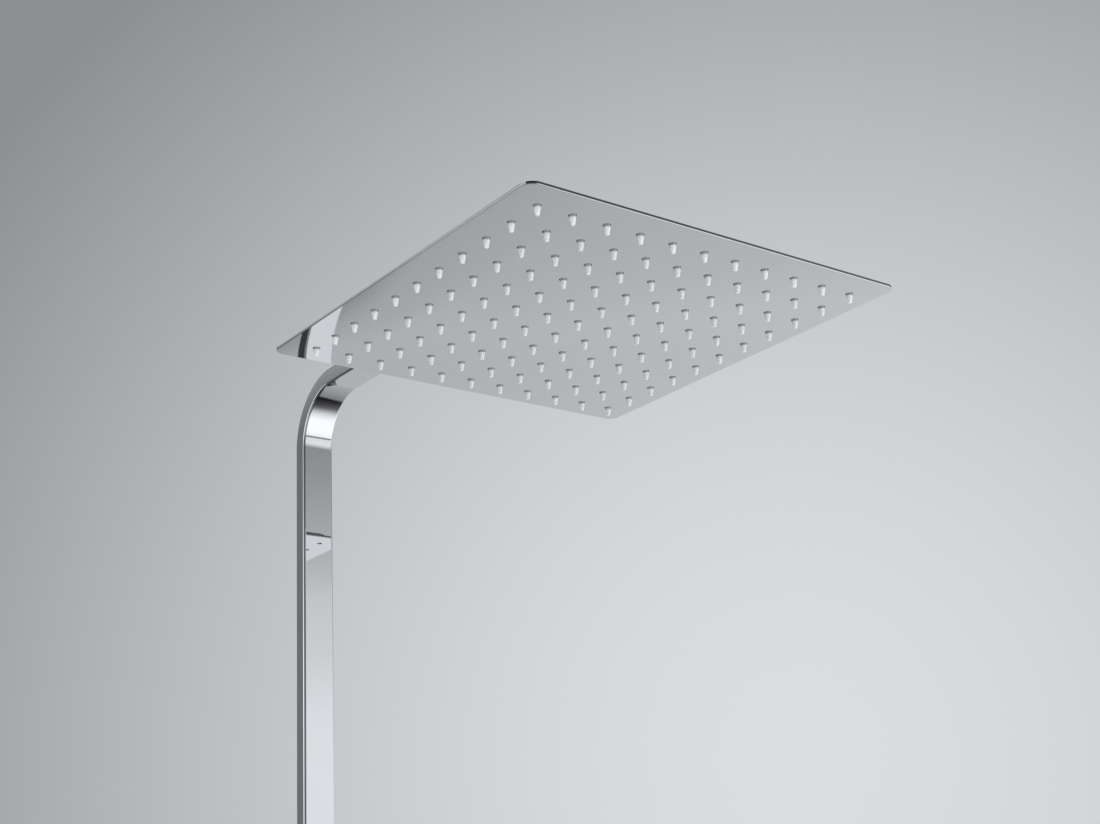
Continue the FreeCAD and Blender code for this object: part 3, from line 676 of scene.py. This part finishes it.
rims = [e for e in bracket.edges if e.calc_face_angle(0) > rim_angle
        and all(abs(abs(v.co.z) - sleeve_height / 2) < 0.01 for v in e.verts)]
eased(bracket, rims, sleeve_ease)

post = bmesh.new()
post_foot = rounded_sheet(post, post_side, post_side, post_corner, post_start, 4)
post_end = pulled(post, post_foot, (0, 0, post_length))
post_end = pulled(post, post_end, (0, 0, flare_length))
bmesh.ops.scale(post, vec=(flare, flare, 1), verts=list(post_end.verts))
wall_end = min(post.faces, key=lambda f: f.calc_center_median().z)
bmesh.ops.inset_region(post, faces=[wall_end], thickness=socket_rim)
socket_mouth = min((f for f in post.faces if len(f.verts) > 4),
                   key=lambda f: (round(f.calc_center_median().z, 2), f.calc_area()))
pulled(post, socket_mouth, (0, 0, socket_depth))
out_to_tube = Matrix.Translation((0, -column_y, 0)) @ facing_forward
bmesh.ops.transform(post, matrix=out_to_tube, verts=post.verts)
post_mesh = bpy.data.meshes.new("post_scratch")
post.to_mesh(post_mesh)
post.free()
bracket.from_mesh(post_mesh)
bpy.data.meshes.remove(post_mesh)
make_piece("cast_bracket", bracket, (0, column_y, 0), "column", "chrome", chrome, "bracket_body")

screw_steel, link, place = new_finish("grub_screw_steel")
film = noise(place, 500.0, 4.0)
surface(link,
        Base_Color=film.mixed((0.42, 0.42, 0.43, 1), (0.56, 0.56, 0.56, 1)),
        Roughness=film * 0.2 + 0.25,
        Metallic=1.0,
        Normal=bumps(film, 0.00002, 0.5))
dress(screw_steel, "column_lock_screw", "post_lock_screw")
dress(natural_plastic, "sleeve_liner")

cover_side, cover_corner, cover_sheet, cover_bend = 56.0, 6.0, 1.2, 1.4
cover_back, cover_front, post_hole, post_hole_corner = 0.3, 9.3, 20.3, 1.6
cover = bmesh.new()
back_loop = square_loop(cover, cover_side, cover_corner, cover_back)
front_loop = square_loop(cover, cover_side, cover_corner, cover_front)
post_loop = square_loop(cover, post_hole, post_hole_corner, cover_front)
bmesh.ops.bridge_loops(cover, edges=back_loop + front_loop)
bmesh.ops.bridge_loops(cover, edges=front_loop + post_loop)
faced_up(cover)
eased(cover, front_loop, cover_bend, 4)
bmesh.ops.solidify(cover, geom=cover.faces, thickness=cover_sheet)
make_piece("bracket_cover", cover, (0, 0, 0), "column", "chrome", chrome, "wall_rosette",
           turn=facing_forward)
dress(black_rubber, "rosette_ring")

# ---- Foot of the column ------------------------------------------------------------------------
# Turned brass foot brazed into the tube, with a neck and an open spring ring that carries the
# loose union nut; a flat seal lies in the nut.  Foot and nut are chrome plated.
foot_plug, foot_bore = 12.0, 8.0
adapter = bmesh.new()
turned(adapter, [(4.0, 0), (15.5, 0, 0.3), (15.5, -5.0, 0.8), (9.6, -5.0, 0.5), (9.0, -5.9),
                 (9.0, -20.7), (8.3, -20.7), (8.3, -22.1), (9.0, -22.1), (9.0, -23.0, 0.2),
                 (4.0, -23.0)])
plug_top = rounded_sheet(adapter, plug_width, plug_depth, plug_corner, foot_plug, 2)
loops = opened(adapter, plug_top) + ring(adapter, foot_bore, 32, (0, 0, foot_plug))
plug_faces = bmesh.ops.bridge_loops(adapter, edges=loops)["faces"]
drawn_out(adapter, plug_faces, (0, 0, -foot_plug))
make_piece("brazed_foot", adapter, (0, column_y, foot_z), "column", "chrome", chrome,
           "lower_adapter")

half_hexagon, nut_z = 15.0, -630.0
union = bmesh.new()
turned(union, [(15.0, -11.0), (17.32, -9.66), (17.32, 5.2), (15.2, 6.5), (9.2, 6.5, 0.3),
               (9.2, 2.5), (12.3, 2.5), (13.3, -2.3)]
       + thread(12.06, 13.1, -2.5, -9.9, pipe_pitch) + [(12.3, -11.0)])
for i in range(6):
    away = Vector((math.cos(math.radians(60 * i)), math.sin(math.radians(60 * i)), 0))
    milled(union, list(union.faces), away * half_hexagon, away)
make_piece("hexagon_union_nut", union, (0, column_y, nut_z), "union_nut", "chrome", chrome,
           "union_nut")

spring_steel, link, place = new_finish("spring_steel")
temper = noise(place, 220.0, 3.0)
surface(link,
        Base_Color=temper.mixed((0.22, 0.22, 0.24, 1), (0.34, 0.33, 0.33, 1)),
        Roughness=temper * 0.2 + 0.3,
        Metallic=1.0,
        Normal=bumps(temper, 0.00002, 0.5))
dress(spring_steel, "nut_snap_ring")
dress(black_rubber, "union_seal")
